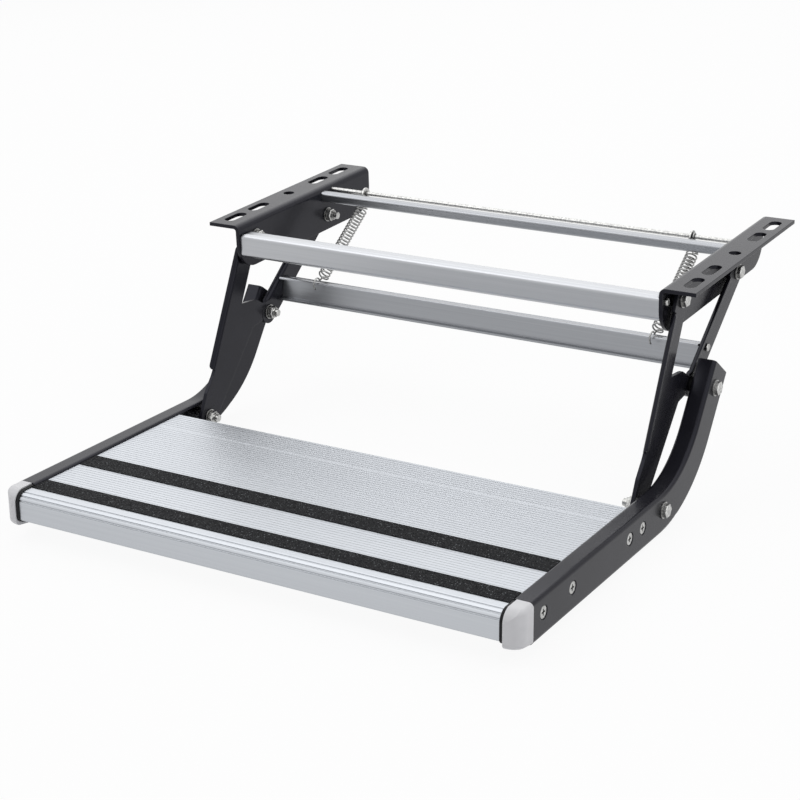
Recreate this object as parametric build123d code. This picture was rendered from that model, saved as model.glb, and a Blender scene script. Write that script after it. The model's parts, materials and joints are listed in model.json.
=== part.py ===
from build123d import *
import os
from math import cos, radians, sin, tan

# Folding entry step. Two hanger brackets bolt up under a floor. Two pairs of links hang from them and
# carry an aluminium tread between two curved side rails. The links, the rails and the brackets form a
# four-bar linkage that swings the tread rearward and up. It is drawn with the tread let down.
# X points to the right, Y to the rear and Z up, in millimetres. The origin lies in the mounting plane,
# midway between the brackets and in line with their round bolt holes.

# Hanger brackets: folded angles with the flange outward
BRACKET_LENGTH = 280.0
BRACKET_INNER_X = 255.0
BRACKET_THICKNESS = 4.0
BRACKET_FLANGE_WIDTH = 39.5
BRACKET_DEPTH = 53.0
BRACKET_BEND_RADIUS = 7.0
BRACKET_CORNER_RADIUS = 30.0
MOUNT_LINE_INSET = 25.0
MOUNT_HOLE_DIAMETER = 13.0
MOUNT_SLOT_WIDTH = 13.0
MOUNT_SLOT_LENGTH = 34.0
INNER_SLOT_Y = 63.5
OUTER_SLOT_Y = 109.5

# Linkage: the upper pivots in the brackets, and each link's length and lean when let down
FRONT_PIVOT_Y = -107.0
FRONT_PIVOT_Z = -20.0
FRONT_LINK_LENGTH = 212.0
FRONT_LINK_LEAN = 28.1
REAR_PIVOT_Y = 43.0
REAR_PIVOT_Z = -34.5
REAR_LINK_LENGTH = 149.0
REAR_LINK_DROP = 35.7

# Links: folded plates
LINK_STANDOFF = 4.0
LINK_THICKNESS = 4.0
LINK_HALF_WIDTH = 14.0
LINK_FLANGE_DEPTH = 6.0
LINK_BEND_RADIUS = 4.8
LINK_FLANGE_START = 16.0
LINK_FLANGE_END_RADIUS = 5.0
FRONT_LINK_FLANGE_LENGTH = 144.0
FRONT_LINK_FOOT_RADIUS = 15.0
FRONT_LINK_RELIEF_DEPTH = 4.0
FRONT_LINK_RELIEF_FROM_FOOT = 45.0
FRONT_LINK_HEEL_FROM_FOOT = 24.0
FRONT_LINK_BACK_FROM_FOOT = 27.0
FRONT_LINK_BACK_OFFSET = 23.0
TAB_NOTCH_REACH = 78.0
TAB_SHOULDER_REACH = 69.0
TAB_SHOULDER_OFFSET = 38.0
TAB_CREST_REACH = 67.8
TAB_CREST_OFFSET = 42.5
TAB_TIP_BELOW_PIVOT = 6.5
TAB_ROOT_REACH = 99.0
TAB_ROOT_OFFSET = 47.7
TAB_GAP = 0.6
REAR_LINK_FLANGE_LENGTH = 131.0

# Tread, in its own level frame: y from the nosing's front face, z from the deck's top
TREAD_PITCH = 2.5
TREAD_PIVOT_SETBACK = 43.5
TREAD_PIVOT_Z = -14.0
DECK_DEPTH = 268.0
DECK_SEAM_Y = 229.0
PLANK_LIP = 6.5
PLANK_LIP_THICKNESS = 3.2
PLANK_WALL = 2.2
PLANK_TOP_WALL = 3.0
PLANK_PLAY = 0.3
SEAM_CHAMFER = 0.3
NOSE_HEIGHT = 29.0
NOSE_HEEL_Y = 24.0
NOSE_TOP_RADIUS = 11.0
NOSE_BOTTOM_RADIUS = 3.0
NOSE_RIDGE_ANGLES = (18.0, 45.0, 72.0)
NOSE_RIDGE_GROOVE = 1.0
DECK_GROOVE_PITCH = 4.9
DECK_GROOVE_WIDTH = 0.7
DECK_GROOVE_DEPTH = 0.15
FRONT_STRIP_Y = 19.9
FRONT_STRIP_WIDTH = 23.5
REAR_STRIP_Y = 94.6
REAR_STRIP_WIDTH = 27.4
STRIP_THICKNESS = 1.8
STRIP_RECESS = 1.0
STRIP_SIDE_GAP = 0.4

# Side rails: pressed channels, straight along the tread, swept up behind it and two-walled there
RAIL_STANDOFF = 26.0
RAIL_WALL = 2.6
RAIL_HEIGHT = 41.8
RAIL_TOP_FLANGE = 20.5
RAIL_BOTTOM_FLANGE = 12.0
RAIL_INNER_DEPTH = 32.0
RAIL_BEND_RADIUS = 4.0
RAIL_START_Y = 25.0
RAIL_SWEEP_RADIUS = 108.0
RAIL_ARM_ANGLE = 55.0
RAIL_ARM_EDGE = 17.7
RAIL_ARM_ABOVE_PIVOT = 24.0

# Rail screws into the planks' ports
RAIL_SCREW_Z = -15.2
FRONT_SCREW_Y = 46.4
MIDDLE_SCREW_Y = 105.4
SEAM_SCREW_SETBACK = 2.5
END_SCREW_INSET = 6.0
RAIL_SCREW_HEAD_RADIUS = 6.2
RAIL_SCREW_SHANK_RADIUS = 2.6
RAIL_SCREW_LENGTH = 22.0
RAIL_SCREW_SINK = 0.5
RAIL_SCREW_TAPER = 0.55
RAIL_SCREW_RECESS = 1.7
RAIL_SCREW_RIM = 0.9
PORT_WALL = 2.8

# End caps and the trim band between cap and nosing
CAP_PROUD = 0.7
CAP_FRONT = 2.4
CAP_CORNER_RADIUS = 15.5
CAP_EDGE_RADIUS = 5.0
CAP_CHIN_DROP = 5.6
CAP_CHIN_RADIUS = 6.0
BAND_OUTSET = 4.5
BAND_THICKNESS = 3.6
BAND_PROUD = 1.3
BAND_LOW_RADIUS = 7.0

# Crossbars: aluminium sections between the brackets and between the rear links
FRONT_BAR_Y = -137.5
FRONT_BAR_TOP = -10.2
FRONT_BAR_HEIGHT = 26.8
FRONT_BAR_DEPTH = 19.0
BAR_WALL = 2.4
BAR_CORNER_RADIUS = 5.0
BAR_END_RADIUS = 6.0
REAR_BAR_Y = 31.0
REAR_BAR_TOP = -4.6
REAR_BAR_HEIGHT = 12.0
REAR_BAR_DEPTH = 12.0
REAR_BAR_RADIUS = 3.5
LINK_BAR_REACH = 101.5
LINK_BAR_LEAN = 12.3
LINK_BAR_FRONT = 15.4
LINK_BAR_ABOVE = 4.3
LINK_BAR_BELOW = 22.9
LINK_BAR_RADIUS = 1.5
BAR_PORT_RADIUS = 5.0

# Pivot fasteners
BOLT_RADIUS = 4.0
PIVOT_CLEARANCE = 0.05
PIVOT_PLAY = 0.2
BOLT_FLANGE_RADIUS = 8.6
BOLT_FLANGE_THICKNESS = 1.7
BOLT_HEX = 13.0
BOLT_HEAD_HEIGHT = 6.2
WASHER_RADIUS = 8.5
WASHER_THICKNESS = 1.6
NUT_HEX = 13.0
NUT_HEIGHT = 6.2
NUT_COLLAR_RADIUS = 5.6
NUT_COLLAR_HEIGHT = 1.8
UPPER_BOLT_TIP = 5.5
LOWER_BOLT_TIP = 3.4
HEX_CHAMFER = 0.7
BUSH_RADIUS = 8.5
SPACER_RADIUS = 8.0
OPEN_PIVOT_GAP = 0.4

# Bar screws
BAR_SCREW_RADIUS = 2.4
BAR_SCREW_HEAD_RADIUS = 4.2
BAR_SCREW_HEAD_HEIGHT = 3.0
STUD_CLEARANCE = 1.0
BAR_SCREW_LENGTH = 18.0
BAR_SCREW_SLOT = 1.2

# Spring rod and the two extension springs
ROD_RADIUS = 2.5
ROD_Y = 57.0
ROD_Z = -6.8
SPRING_INSET = 44.0
ROD_WASHER_RADIUS = 7.8
ROD_WASHER_BORE = 3.6
ROD_WASHER_THICKNESS = 2.0
ROD_WASHER_GAP = 0.6
SPRING_RADIUS = 6.2
WIRE_RADIUS = 0.95
SPRING_TURNS = 24
HOOK_SEAT_GAP = 0.4
HOOK_REACH = 6.5
HOOK_SWEEP = 220.0
COIL_TOP_FORWARD = 4.0
COIL_TOP_DROP = 18.0
COIL_END_BACK = 14.0
COIL_END_RISE = 4.8
LINK_BAR_HOOK_INSET = 1.0

# Places worked out from the sizes
BRACKET_OUTER_X = BRACKET_INNER_X + BRACKET_THICKNESS
LINK_INNER_X = BRACKET_OUTER_X + LINK_STANDOFF
LINK_OUTER_X = LINK_INNER_X + LINK_THICKNESS
STUD_END_X = LINK_OUTER_X + BAR_SCREW_HEAD_HEIGHT + STUD_CLEARANCE
RAIL_OUTER_X = LINK_OUTER_X + RAIL_STANDOFF
RAIL_INNER_X = RAIL_OUTER_X - RAIL_WALL
RAIL_TOP_Z = RAIL_WALL
PLANK_HEIGHT = RAIL_HEIGHT - 2 * RAIL_WALL
RAIL_FLANGE_X = RAIL_OUTER_X - RAIL_TOP_FLANGE
BAND_OUTER_X = RAIL_FLANGE_X + BAND_OUTSET
BAND_INNER_X = BAND_OUTER_X - BAND_THICKNESS
CAP_OUTER_X = RAIL_OUTER_X + CAP_PROUD
RAIL_SCREW_X = RAIL_OUTER_X - RAIL_SCREW_SINK
SPRING_X = BRACKET_INNER_X - SPRING_INSET
TREAD_PIVOT_Y = DECK_DEPTH + TREAD_PIVOT_SETBACK
NOSING_SCREWS = (FRONT_SCREW_Y, MIDDLE_SCREW_Y)
REAR_SCREWS = (DECK_SEAM_Y + SEAM_SCREW_SETBACK, DECK_DEPTH - END_SCREW_INSET)
PORT_HOLE_RADIUS = RAIL_SCREW_SHANK_RADIUS + PIVOT_CLEARANCE
BAR_PORT_HOLE = BAR_SCREW_RADIUS + PIVOT_CLEARANCE
BOLT_HOLE = BOLT_RADIUS + PIVOT_CLEARANCE
FRONT_PIVOT = Vector(0, FRONT_PIVOT_Y, FRONT_PIVOT_Z)
REAR_PIVOT = Vector(0, REAR_PIVOT_Y, REAR_PIVOT_Z)
FRONT_ALONG = Vector(0, -sin(radians(FRONT_LINK_LEAN)), -cos(radians(FRONT_LINK_LEAN)))
REAR_ALONG = Vector(0, -cos(radians(REAR_LINK_DROP)), -sin(radians(REAR_LINK_DROP)))
FRONT_FOOT = FRONT_PIVOT + FRONT_ALONG * FRONT_LINK_LENGTH
REAR_FOOT = REAR_PIVOT + REAR_ALONG * REAR_LINK_LENGTH
TREAD = Pos(FRONT_FOOT) * Rot(-TREAD_PITCH, 0, 0) * Pos(0, -TREAD_PIVOT_Y, -TREAD_PIVOT_Z)
TREAD_REAR_PIVOT = (TREAD.inverse() * Pos(REAR_FOOT)).position
FRONT_BAR_PORT_Y = FRONT_BAR_Y + BAR_WALL / 2 + BAR_PORT_RADIUS
FRONT_BAR_PORT_Z = FRONT_BAR_TOP - BAR_WALL / 2 - BAR_PORT_RADIUS
REAR_BAR_MID_Y = REAR_BAR_Y + REAR_BAR_DEPTH / 2
REAR_BAR_MID_Z = REAR_BAR_TOP - REAR_BAR_HEIGHT / 2
LINK_BAR_BACK = BAR_WALL / 2 - BAR_PORT_RADIUS
LINK_BAR = Pos(REAR_PIVOT + REAR_ALONG * LINK_BAR_REACH) * Rot(-LINK_BAR_LEAN, 0, 0)


def slab(face, x_from, x_to):
    """A flat face drawn in Y and Z, made solid between two X planes."""
    return extrude(Plane.YZ.offset(x_from) * face, x_to - x_from, dir=(1, 0, 0))


def disc(y, z, radius, x_from, x_to):
    """A round bar along X."""
    return slab(Pos(y, z) * Circle(radius), x_from, x_to)


def hexagon(y, z, across, x_from, x_to):
    """A six-sided bar along X, with both ends chamfered."""
    bar = slab(Pos(y, z) * RegularPolygon(across / 2, 6, major_radius=False), x_from, x_to)
    ends = bar.faces().sort_by(Axis.X)
    return chamfer(ends[0].edges() + ends[-1].edges(), HEX_CHAMFER)


def ring(y, z, outer, inner, x_from, x_to):
    """A washer, bush or spacer along X."""
    return slab(Pos(y, z) * (Circle(outer) - Circle(inner)), x_from, x_to)


def both_sides(shape):
    """The right-hand piece and its mirror image."""
    return [shape, mirror(shape, about=Plane.YZ)]


def save(node, *shapes):
    """Writes one node, as a single solid or as a group of separate ones."""
    solids = [solid for shape in shapes for solid in shape.solids()]
    piece = solids[0] if len(solids) == 1 else Compound(children=solids)
    export_step(piece, os.path.join("parts", node + ".step"))


def save_pair(name, shape):
    """Writes a handed pair as two nodes."""
    right, left = both_sides(shape)
    save("right_" + name, right)
    save("left_" + name, left)


def flange_bolt(y, z, seat_x, tip_x):
    """A hexagon flange bolt whose head stands outboard of its seat."""
    collar_x = seat_x + BOLT_FLANGE_THICKNESS
    head = disc(y, z, BOLT_FLANGE_RADIUS, seat_x, collar_x)
    head += hexagon(y, z, BOLT_HEX, collar_x - HEX_CHAMFER, seat_x + BOLT_HEAD_HEIGHT)
    return head + disc(y, z, BOLT_RADIUS, tip_x, seat_x)


def lock_nut(y, z, seat_x):
    """A self-locking nut whose seat faces outboard."""
    collar_x = seat_x - NUT_HEIGHT
    nut = hexagon(y, z, NUT_HEX, collar_x, seat_x)
    nut += disc(y, z, NUT_COLLAR_RADIUS, collar_x - NUT_COLLAR_HEIGHT, collar_x + HEX_CHAMFER)
    return nut - disc(y, z, BOLT_HOLE, collar_x - NUT_COLLAR_HEIGHT, seat_x)


def nut_reach(seat_x, tip):
    """Where a bolt ends that shows a little past its nut."""
    return seat_x - NUT_HEIGHT - NUT_COLLAR_HEIGHT - tip


def round_wire(start, end):
    """A straight length of spring wire between two points."""
    return extrude(Plane(origin=start, z_dir=end - start) * Circle(WIRE_RADIUS), (end - start).length)


def bar_screw(y, z, seat_x):
    """A slotted pan-head screw into a bar's end, head outboard."""
    screw = disc(y, z, BAR_SCREW_HEAD_RADIUS, seat_x, seat_x + BAR_SCREW_HEAD_HEIGHT)
    rim = screw.faces().sort_by(Axis.X)[-1].edges()
    screw = fillet(rim, BAR_SCREW_HEAD_HEIGHT / 2)
    slot = Rectangle(BAR_SCREW_SLOT, 2 * BAR_SCREW_HEAD_RADIUS)
    screw -= slab(Pos(y, z) * slot, seat_x + BAR_SCREW_HEAD_HEIGHT / 2, seat_x + BAR_SCREW_HEAD_HEIGHT)
    return screw + disc(y, z, BAR_SCREW_RADIUS, seat_x - BAR_SCREW_LENGTH, seat_x)


def bracket():
    """A hanger bracket: upright web, outward flange with bolt holes and slots."""
    outer_x = BRACKET_INNER_X + BRACKET_FLANGE_WIDTH
    corner = Vector(BRACKET_INNER_X, 0)
    crease = Vector(BRACKET_OUTER_X, -BRACKET_THICKNESS)
    section = Polygon(
        (BRACKET_INNER_X, -BRACKET_DEPTH),
        (BRACKET_OUTER_X, -BRACKET_DEPTH),
        crease,
        (outer_x, -BRACKET_THICKNESS),
        (outer_x, 0),
        corner,
        align=None,
    )
    section = fillet(section.vertices().sort_by_distance(corner)[0], BRACKET_BEND_RADIUS)
    section = fillet(section.vertices().sort_by_distance(crease)[0], BRACKET_BEND_RADIUS - BRACKET_THICKNESS)
    body = extrude(Plane.XZ * section, BRACKET_LENGTH / 2, both=True)
    side = Pos(0, -BRACKET_DEPTH / 2) * Rectangle(BRACKET_LENGTH, BRACKET_DEPTH)
    side = fillet(side.vertices().group_by(Axis.Y)[0], BRACKET_CORNER_RADIUS)
    body = body & slab(side, BRACKET_INNER_X, outer_x)
    openings = Circle(MOUNT_HOLE_DIAMETER / 2)
    slot = SlotOverall(MOUNT_SLOT_LENGTH, MOUNT_SLOT_WIDTH, rotation=90)
    for reach in (INNER_SLOT_Y, OUTER_SLOT_Y):
        openings += Pos(0, reach) * slot
        openings += Pos(0, -reach) * slot
    line_x = BRACKET_INNER_X + MOUNT_LINE_INSET
    body -= extrude(Pos(line_x, 0, -BRACKET_THICKNESS) * openings, BRACKET_THICKNESS)
    holes = [
        (FRONT_PIVOT_Y, FRONT_PIVOT_Z, BOLT_HOLE),
        (REAR_PIVOT_Y, REAR_PIVOT_Z, BOLT_HOLE),
        (FRONT_BAR_PORT_Y, FRONT_BAR_PORT_Z, BAR_PORT_HOLE),
        (REAR_BAR_MID_Y, REAR_BAR_MID_Z, BAR_PORT_HOLE),
        (ROD_Y, ROD_Z, ROD_RADIUS + PIVOT_CLEARANCE),
    ]
    for y, z, radius in holes:
        body -= disc(y, z, radius, BRACKET_INNER_X, BRACKET_OUTER_X)
    return body


def front_crossbar():
    """A rounded channel, open to the rear, with a screw port under its top wall."""
    mid = (FRONT_BAR_Y + FRONT_BAR_DEPTH / 2, FRONT_BAR_TOP - FRONT_BAR_HEIGHT / 2)
    section = Pos(*mid) * RectangleRounded(FRONT_BAR_DEPTH, FRONT_BAR_HEIGHT, BAR_CORNER_RADIUS)
    inside = RectangleRounded(FRONT_BAR_DEPTH, FRONT_BAR_HEIGHT - 2 * BAR_WALL, BAR_CORNER_RADIUS - BAR_WALL)
    section -= Pos(mid[0] + BAR_WALL, mid[1]) * inside
    section += Pos(FRONT_BAR_PORT_Y, FRONT_BAR_PORT_Z) * Circle(BAR_PORT_RADIUS)
    section -= Pos(FRONT_BAR_PORT_Y, FRONT_BAR_PORT_Z) * Circle(BAR_PORT_HOLE)
    bar = slab(section, -BRACKET_INNER_X, BRACKET_INNER_X)
    front = Pos(0, mid[1]) * RectangleRounded(2 * BRACKET_INNER_X, FRONT_BAR_HEIGHT, BAR_END_RADIUS)
    return bar & extrude(Plane.XZ.offset(-FRONT_BAR_Y) * front, -FRONT_BAR_DEPTH)


def rear_crossbar():
    """A flat rounded bar with a bore that takes the end screws."""
    section = RectangleRounded(REAR_BAR_DEPTH, REAR_BAR_HEIGHT, REAR_BAR_RADIUS) - Circle(BAR_PORT_HOLE)
    return slab(Pos(REAR_BAR_MID_Y, REAR_BAR_MID_Z) * section, -BRACKET_INNER_X, BRACKET_INNER_X)


def link_crossbar():
    """A channel between the rear links, open to the front, with a screw port behind its web."""
    tall = LINK_BAR_ABOVE + LINK_BAR_BELOW
    deep = LINK_BAR_FRONT + LINK_BAR_BACK
    mid = ((LINK_BAR_BACK - LINK_BAR_FRONT) / 2, (LINK_BAR_ABOVE - LINK_BAR_BELOW) / 2)
    section = Pos(*mid) * RectangleRounded(deep, tall, LINK_BAR_RADIUS)
    section -= Pos(mid[0] - BAR_WALL, mid[1]) * Rectangle(deep, tall - 2 * BAR_WALL)
    section += Circle(BAR_PORT_RADIUS)
    section -= Circle(BAR_PORT_HOLE)
    flat = slab(section, -LINK_INNER_X, LINK_INNER_X)
    return LINK_BAR * flat


def link_point(start, along, reach, offset):
    """A point on a link: its reach from the upper pivot and its offset behind the pivot line."""
    behind = along.rotate(Axis.X, 90)
    place = start + along * reach + behind * offset
    return (place.Y, place.Z)


def link_flange(start, along, length):
    """The stiffening flange folded outboard along a link's front edge, with rounded ends."""
    behind = along.rotate(Axis.X, 90)
    origin = start + along * LINK_FLANGE_START + Vector(LINK_INNER_X, 0, 0)
    across = Plane(origin=origin, x_dir=behind, z_dir=along)
    edge = -LINK_HALF_WIDTH
    crease = Vector(edge + LINK_THICKNESS, LINK_THICKNESS)
    corner = Vector(edge, 0)
    section = Polygon(
        (edge + LINK_BEND_RADIUS, 0),
        corner,
        (edge, LINK_FLANGE_DEPTH),
        (edge + LINK_THICKNESS, LINK_FLANGE_DEPTH),
        crease,
        (edge + LINK_BEND_RADIUS, LINK_THICKNESS),
        align=None,
    )
    section = fillet(section.vertices().sort_by_distance(corner)[0], LINK_BEND_RADIUS)
    inner_radius = LINK_BEND_RADIUS - LINK_THICKNESS
    section = fillet(section.vertices().sort_by_distance(crease)[0], inner_radius * 0.9)
    flange = extrude(across * section, length, dir=along)
    for reach in (0, length):
        tip = across.from_local_coords(Vector(edge + LINK_THICKNESS / 2, LINK_FLANGE_DEPTH, reach))
        flange = fillet(flange.edges().sort_by_distance(tip)[0], LINK_FLANGE_END_RADIUS)
    return flange


def front_link():
    """A wide plate with a stop tab that stands against the rear link when the tread is down."""
    half = LINK_HALF_WIDTH
    fold = half - LINK_BEND_RADIUS
    foot = FRONT_LINK_LENGTH
    flange_end = LINK_FLANGE_START + FRONT_LINK_FLANGE_LENGTH
    nest = LINK_HALF_WIDTH + TAB_GAP
    tip_y = REAR_FOOT.Y - nest

    def at(reach, offset):
        return link_point(FRONT_PIVOT, FRONT_ALONG, reach, offset)

    outline = Polygon(
        at(0, half),
        at(TAB_NOTCH_REACH, half),
        at(TAB_SHOULDER_REACH, TAB_SHOULDER_OFFSET),
        at(TAB_CREST_REACH, TAB_CREST_OFFSET),
        link_point(REAR_FOOT, REAR_ALONG, 0, -nest),
        (REAR_FOOT.Y, REAR_FOOT.Z),
        (tip_y, REAR_FOOT.Z),
        (tip_y, REAR_FOOT.Z - TAB_TIP_BELOW_PIVOT),
        at(TAB_ROOT_REACH, TAB_ROOT_OFFSET),
        at(foot - FRONT_LINK_BACK_FROM_FOOT, FRONT_LINK_BACK_OFFSET),
        at(foot, FRONT_LINK_FOOT_RADIUS),
        at(foot, -FRONT_LINK_FOOT_RADIUS),
        at(foot - FRONT_LINK_HEEL_FROM_FOOT, -FRONT_LINK_FOOT_RADIUS),
        at(foot - FRONT_LINK_RELIEF_FROM_FOOT, FRONT_LINK_RELIEF_DEPTH - half),
        at(flange_end, -fold),
        at(LINK_FLANGE_START, -fold),
        at(LINK_FLANGE_START, -half),
        at(0, -half),
        align=None,
    )
    outline -= Pos(REAR_FOOT.Y, REAR_FOOT.Z) * Circle(nest)
    face = outline + Pos(*at(0, 0)) * Circle(half) + Pos(*at(foot, 0)) * Circle(FRONT_LINK_FOOT_RADIUS)
    plate = slab(face, LINK_INNER_X, LINK_OUTER_X)
    plate += link_flange(FRONT_PIVOT, FRONT_ALONG, FRONT_LINK_FLANGE_LENGTH)
    for reach in (0, foot):
        plate -= disc(*at(reach, 0), BOLT_HOLE, LINK_INNER_X, LINK_OUTER_X)
    return plate


def rear_link():
    """A narrow plate with round ends, a flange along its front edge and the crossbar's screw hole."""
    half = LINK_HALF_WIDTH
    fold = half - LINK_BEND_RADIUS
    foot = REAR_LINK_LENGTH
    flange_end = LINK_FLANGE_START + REAR_LINK_FLANGE_LENGTH

    def at(reach, offset):
        return link_point(REAR_PIVOT, REAR_ALONG, reach, offset)

    outline = Polygon(
        at(0, half),
        at(foot, half),
        at(foot, -half),
        at(flange_end, -half),
        at(flange_end, -fold),
        at(LINK_FLANGE_START, -fold),
        at(LINK_FLANGE_START, -half),
        at(0, -half),
        align=None,
    )
    face = outline + Pos(*at(0, 0)) * Circle(half) + Pos(*at(foot, 0)) * Circle(half)
    plate = slab(face, LINK_INNER_X, LINK_OUTER_X)
    plate += link_flange(REAR_PIVOT, REAR_ALONG, REAR_LINK_FLANGE_LENGTH)
    for reach, radius in ((0, BOLT_HOLE), (foot, BOLT_HOLE), (LINK_BAR_REACH, BAR_PORT_HOLE)):
        plate -= disc(*at(reach, 0), radius, LINK_INNER_X, LINK_OUTER_X)
    return plate


def rail_path():
    """The line along a rail's upper surface: level, a sweep, then the arm up past the rear pivot."""
    turn = radians(RAIL_ARM_ANGLE)
    arm = Vector(0, cos(turn), sin(turn))
    ahead = Vector(0, -sin(turn), cos(turn))
    on_arm = TREAD_REAR_PIVOT + ahead * RAIL_ARM_EDGE
    corner = on_arm - arm * ((on_arm.Z - RAIL_TOP_Z) / sin(turn))
    tangent = RAIL_SWEEP_RADIUS * tan(turn / 2)
    start = Vector(0, RAIL_START_Y, RAIL_TOP_Z)
    sweep_from = Vector(0, corner.Y - tangent, RAIL_TOP_Z)
    sweep_to = corner + arm * tangent
    centre = sweep_from + Vector(0, 0, RAIL_SWEEP_RADIUS)
    middle = centre + Vector(0, sin(turn / 2), -cos(turn / 2)) * RAIL_SWEEP_RADIUS
    end = on_arm + arm * RAIL_ARM_ABOVE_PIVOT
    return Line(start, sweep_from) + ThreePointArc(sweep_from, middle, sweep_to) + Line(sweep_to, end)


def rail_section():
    """The channel across a rail, from its upper surface down, with its inner wall."""
    bottom_x = RAIL_OUTER_X - RAIL_BOTTOM_FLANGE
    wall_x = RAIL_FLANGE_X + RAIL_WALL
    low = RAIL_HEIGHT - RAIL_WALL
    bends = [
        (Vector(RAIL_OUTER_X, 0), RAIL_BEND_RADIUS),
        (Vector(RAIL_OUTER_X, RAIL_HEIGHT), RAIL_BEND_RADIUS),
        (Vector(RAIL_INNER_X, low), RAIL_BEND_RADIUS - RAIL_WALL),
        (Vector(RAIL_INNER_X, RAIL_WALL), RAIL_BEND_RADIUS - RAIL_WALL),
        (Vector(wall_x, RAIL_WALL), RAIL_BEND_RADIUS - RAIL_WALL),
        (Vector(RAIL_FLANGE_X, 0), RAIL_BEND_RADIUS),
    ]
    section = Polygon(
        bends[0][0],
        bends[1][0],
        (bottom_x, RAIL_HEIGHT),
        (bottom_x, low),
        bends[2][0],
        bends[3][0],
        bends[4][0],
        (wall_x, RAIL_INNER_DEPTH),
        (RAIL_FLANGE_X, RAIL_INNER_DEPTH),
        bends[5][0],
        align=None,
    )
    for corner, radius in bends:
        section = fillet(section.vertices().sort_by_distance(corner)[0], radius)
    return section


def rail_screw(y, play=0.0, rim=0.0):
    """A countersunk screw through a rail's web, or with play and a wider rim the hole that it sits in."""
    radius = RAIL_SCREW_SHANK_RADIUS + play
    flush = RAIL_SCREW_HEAD_RADIUS + play + rim
    neck_x = RAIL_SCREW_X - RAIL_SCREW_TAPER * (RAIL_SCREW_HEAD_RADIUS - RAIL_SCREW_SHANK_RADIUS)
    profile = Polygon(
        (0, RAIL_SCREW_X),
        (flush, RAIL_SCREW_X),
        (radius, neck_x),
        (radius, RAIL_SCREW_X - RAIL_SCREW_LENGTH),
        (0, RAIL_SCREW_X - RAIL_SCREW_LENGTH),
        align=None,
    )
    turned = revolve(Plane.XZ * profile, Axis.Z, 360)
    return Pos(0, y, RAIL_SCREW_Z) * Rot(0, 90, 0) * turned


def recessed_rail_screw(y):
    """A rail screw with its cross recess."""
    arm = RAIL_SCREW_HEAD_RADIUS * 1.1
    cross = Rectangle(arm, RAIL_SCREW_RECESS) + Rectangle(RAIL_SCREW_RECESS, arm)
    sunk = RAIL_SCREW_X - RAIL_SCREW_RECESS
    return rail_screw(y) - slab(Pos(y, RAIL_SCREW_Z) * cross, sunk, RAIL_SCREW_X)


def side_rail():
    """One pressed side rail with screw and pivot holes, its inner wall cut away along the planks."""
    start = Plane(origin=(0, RAIL_START_Y, RAIL_TOP_Z), x_dir=(1, 0, 0), z_dir=(0, 1, 0))
    rail = sweep(start * rail_section(), path=rail_path())
    bay_end = TREAD_PIVOT_Y + SPACER_RADIUS + RAIL_WALL
    bay = Pos((RAIL_START_Y + bay_end) / 2, -RAIL_HEIGHT / 2) * Rectangle(bay_end - RAIL_START_Y, RAIL_HEIGHT)
    rail -= slab(bay, RAIL_FLANGE_X, RAIL_FLANGE_X + RAIL_BEND_RADIUS)
    sink_radius = RAIL_SCREW_HEAD_RADIUS + PIVOT_CLEARANCE + RAIL_SCREW_RIM
    for y in NOSING_SCREWS + REAR_SCREWS:
        rail -= rail_screw(y, PIVOT_CLEARANCE, RAIL_SCREW_RIM)
        rail -= disc(y, RAIL_SCREW_Z, sink_radius, RAIL_SCREW_X, RAIL_OUTER_X)
    for pivot in (Vector(0, TREAD_PIVOT_Y, TREAD_PIVOT_Z), TREAD_REAR_PIVOT):
        rail -= disc(pivot.Y, pivot.Z, BOLT_HOLE, RAIL_INNER_X, RAIL_OUTER_X)
    spacer_hole = SPACER_RADIUS + PIVOT_CLEARANCE
    through = TREAD_REAR_PIVOT
    rail -= disc(through.Y, through.Z, spacer_hole, RAIL_FLANGE_X, RAIL_FLANGE_X + RAIL_WALL)
    return rail


def groove_row(y_from, y_to):
    """Shallow grooves across the deck between two edges, at an even pitch."""
    count = int((y_to - y_from) // DECK_GROOVE_PITCH)
    margin = (y_to - y_from - (count - 1) * DECK_GROOVE_PITCH) / 2
    cuts = Sketch()
    for index in range(count):
        cut = Rectangle(DECK_GROOVE_WIDTH, 2 * DECK_GROOVE_DEPTH)
        cuts += Pos(y_from + margin + index * DECK_GROOVE_PITCH, 0) * cut
    return cuts


def screw_ports(offsets):
    """The screw ports of a plank with a rib above and below each."""
    ports = Sketch()
    for y in offsets:
        ports += Pos(y, RAIL_SCREW_Z) * Circle(PORT_HOLE_RADIUS + PORT_WALL)
        ports += Pos(y, -PLANK_HEIGHT / 2) * Rectangle(PLANK_WALL, PLANK_HEIGHT - PLANK_WALL)
    return ports


def port_holes(offsets):
    """The bores of those ports."""
    holes = Sketch()
    for y in offsets:
        holes += Pos(y, RAIL_SCREW_Z) * Circle(PORT_HOLE_RADIUS)
    return holes


def chamber(y_from, y_to):
    """The hollow inside a plank between two walls."""
    high = PLANK_HEIGHT - PLANK_TOP_WALL - PLANK_WALL
    middle = -PLANK_TOP_WALL - high / 2
    return Pos((y_from + y_to) / 2, middle) * RectangleRounded(y_to - y_from, high, PLANK_WALL)


def plank_ends():
    """The planks' outline seen from the front, with its corners clear of the rails' bends."""
    clear = RAIL_BEND_RADIUS - RAIL_WALL + PLANK_PLAY
    ends = Pos(0, -PLANK_HEIGHT / 2) * Rectangle(2 * RAIL_INNER_X, PLANK_HEIGHT)
    return extrude(Plane.XZ * chamfer(ends.vertices(), clear), -DECK_DEPTH)


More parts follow.
